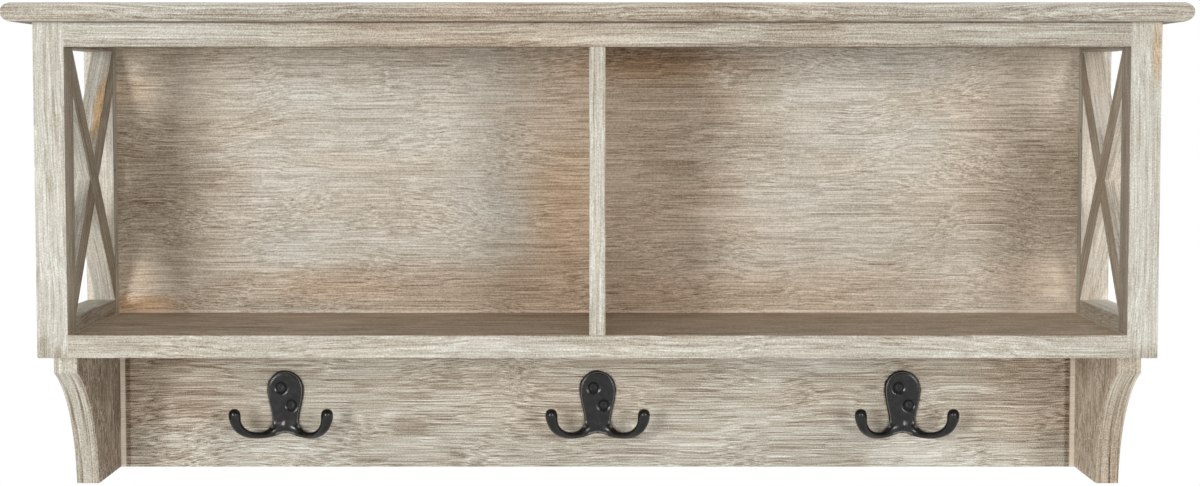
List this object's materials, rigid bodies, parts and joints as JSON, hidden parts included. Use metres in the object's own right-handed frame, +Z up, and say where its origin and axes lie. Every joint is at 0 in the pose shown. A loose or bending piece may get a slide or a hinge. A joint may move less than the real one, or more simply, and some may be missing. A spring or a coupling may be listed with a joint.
{
  "type": "wall rack",
  "caption": "Wall rack in washed wood: an open case with crossed sides and a divider, on curved brackets, with double hooks on a rail below and keyhole hangers in the back.",
  "frame": {"origin": "midpoint between the entry holes of the two keyhole hangers, on the wall plane", "axes": "+X along the width, to the right as seen from the room; +Y into the wall; +Z up; the wall is the plane y = 0"},
  "size_m": [0.648, 0.158, 0.2782],
  "materials": {
    "case_wood": "white-washed, matt, brushed grain",
    "back_wood": "white-washed over brown, matt, brushed grain",
    "hook_metal": "dark satin",
    "screw_metal": "black",
    "hanger_steel": "zinc plated",
    "dowel_wood": "bare beech",
    "brad_steel": "bright"
  },
  "bodies": {
    "root": {"top_board": "case_wood", "front_rail": "case_wood", "shelf_board": "case_wood", "divider": "case_wood", "back_panel": "back_wood", "hook_rail": "back_wood", "left_front_stile": "case_wood", "left_rear_stile": "case_wood", "left_top_rail": "case_wood", "left_bottom_rail": "case_wood", "left_rising_slat": "case_wood", "left_falling_slat": "case_wood", "left_bracket": "case_wood", "right_front_stile": "case_wood", "right_rear_stile": "case_wood", "right_top_rail": "case_wood", "right_bottom_rail": "case_wood", "right_rising_slat": "case_wood", "right_falling_slat": "case_wood", "right_bracket": "case_wood", "left_hook": "hook_metal", "centre_hook": "hook_metal", "right_hook": "hook_metal", "left_hook_screws": "screw_metal", "centre_hook_screws": "screw_metal", "right_hook_screws": "screw_metal", "left_hanger_plate": "hanger_steel", "right_hanger_plate": "hanger_steel", "hanger_screws": "hanger_steel", "left_frame_dowels": "dowel_wood", "right_frame_dowels": "dowel_wood", "left_slat_dowels": "dowel_wood", "right_slat_dowels": "dowel_wood", "front_rail_dowels": "dowel_wood", "top_board_dowels": "dowel_wood", "shelf_dowels": "dowel_wood", "bracket_dowels": "dowel_wood", "hook_rail_end_dowels": "dowel_wood", "hook_rail_top_dowels": "dowel_wood", "back_panel_brads": "brad_steel"}
  },
  "joints": []
}
